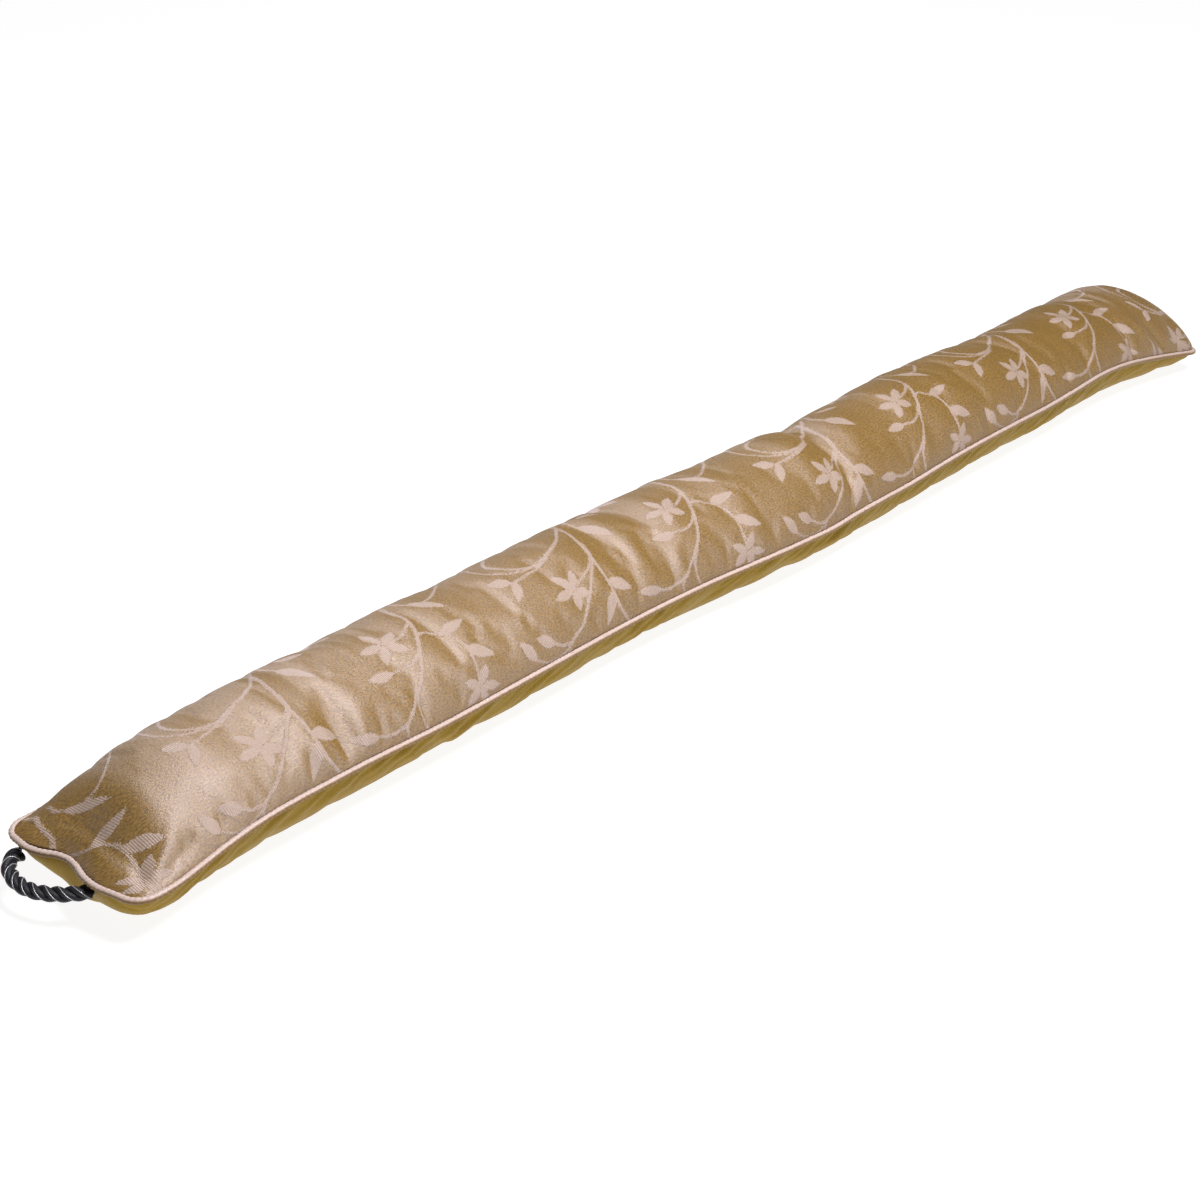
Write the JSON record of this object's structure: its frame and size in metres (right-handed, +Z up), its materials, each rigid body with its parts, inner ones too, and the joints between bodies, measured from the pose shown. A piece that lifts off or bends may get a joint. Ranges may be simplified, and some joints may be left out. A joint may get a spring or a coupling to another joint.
{
  "type": "draught excluder",
  "caption": "Long filled draught excluder with a figured top panel, a plain underside, a piped edge seam and a twisted rope handle at one end.",
  "frame": {"origin": "on the surface it rests on, under the middle of the filled cushion's box", "axes": "+X along the cushion, away from the rope handle's end; +Z up, through the crown of the figured panel; +Y to the side whose seam is away from the camera"},
  "size_m": [0.938, 0.1115, 0.0668],
  "materials": {
    "plain_cloth": "plain olive-gold satin cloth",
    "figured_cloth": "tan satin ground with a raised pale pink vine figure",
    "piping_cloth": "pale pink satin over a cord",
    "rope": "black twisted rope with a thin silver-grey thread along each strand"
  },
  "bodies": {
    "root": {"cushion": "plain_cloth", "top_panel": "figured_cloth", "piping": "piping_cloth", "rope_handle": "rope"}
  },
  "joints": []
}
